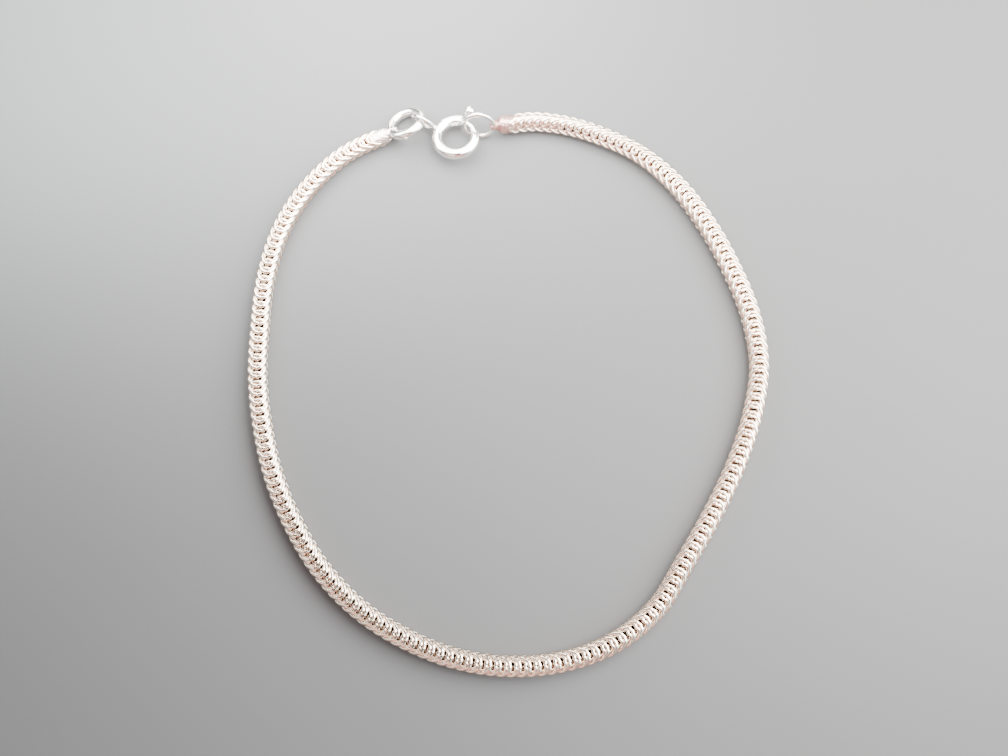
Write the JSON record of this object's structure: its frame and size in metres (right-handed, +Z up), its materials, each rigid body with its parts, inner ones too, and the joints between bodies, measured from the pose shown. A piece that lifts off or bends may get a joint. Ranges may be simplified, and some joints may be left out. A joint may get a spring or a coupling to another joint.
{
  "type": "wheat chain bracelet",
  "caption": "Silver foxtail (wheat) chain bracelet with a rounded square section, closed by a bolt ring clasp and lying flat as a loose open loop.",
  "frame": {"origin": "middle of the loop, on the surface the chain lies on", "axes": "+Z up out of the surface and along the open wrist hollow, +Y across the loop towards the clasp, +X along the clasp's row from the bolt ring to the jump ring"},
  "size_m": [0.0556, 0.0619, 0.0038],
  "materials": {
    "chain_silver": "polished silver wire, slightly worn, darker between the links",
    "ring_silver": "polished silver with soft scratches and soldered joins",
    "clasp_silver": "bright polished silver"
  },
  "bodies": {
    "bracelet": {"foxtail_chain": "chain_silver", "connector_ring": "ring_silver", "jump_ring": "ring_silver", "bolt_ring": "clasp_silver"},
    "bolt": {"spring_bolt": "clasp_silver"}
  },
  "joints": [
    {"name": "bolt_slide", "type": "hinge", "parent": "bracelet", "child": "bolt", "pos_m": [-0.00565, 0.0269, 0.00135], "axis": [0, 0.1167, 0.9932], "range_deg": [0, 62], "stiffness_Nm_per_rad": 0.00002}
  ]
}
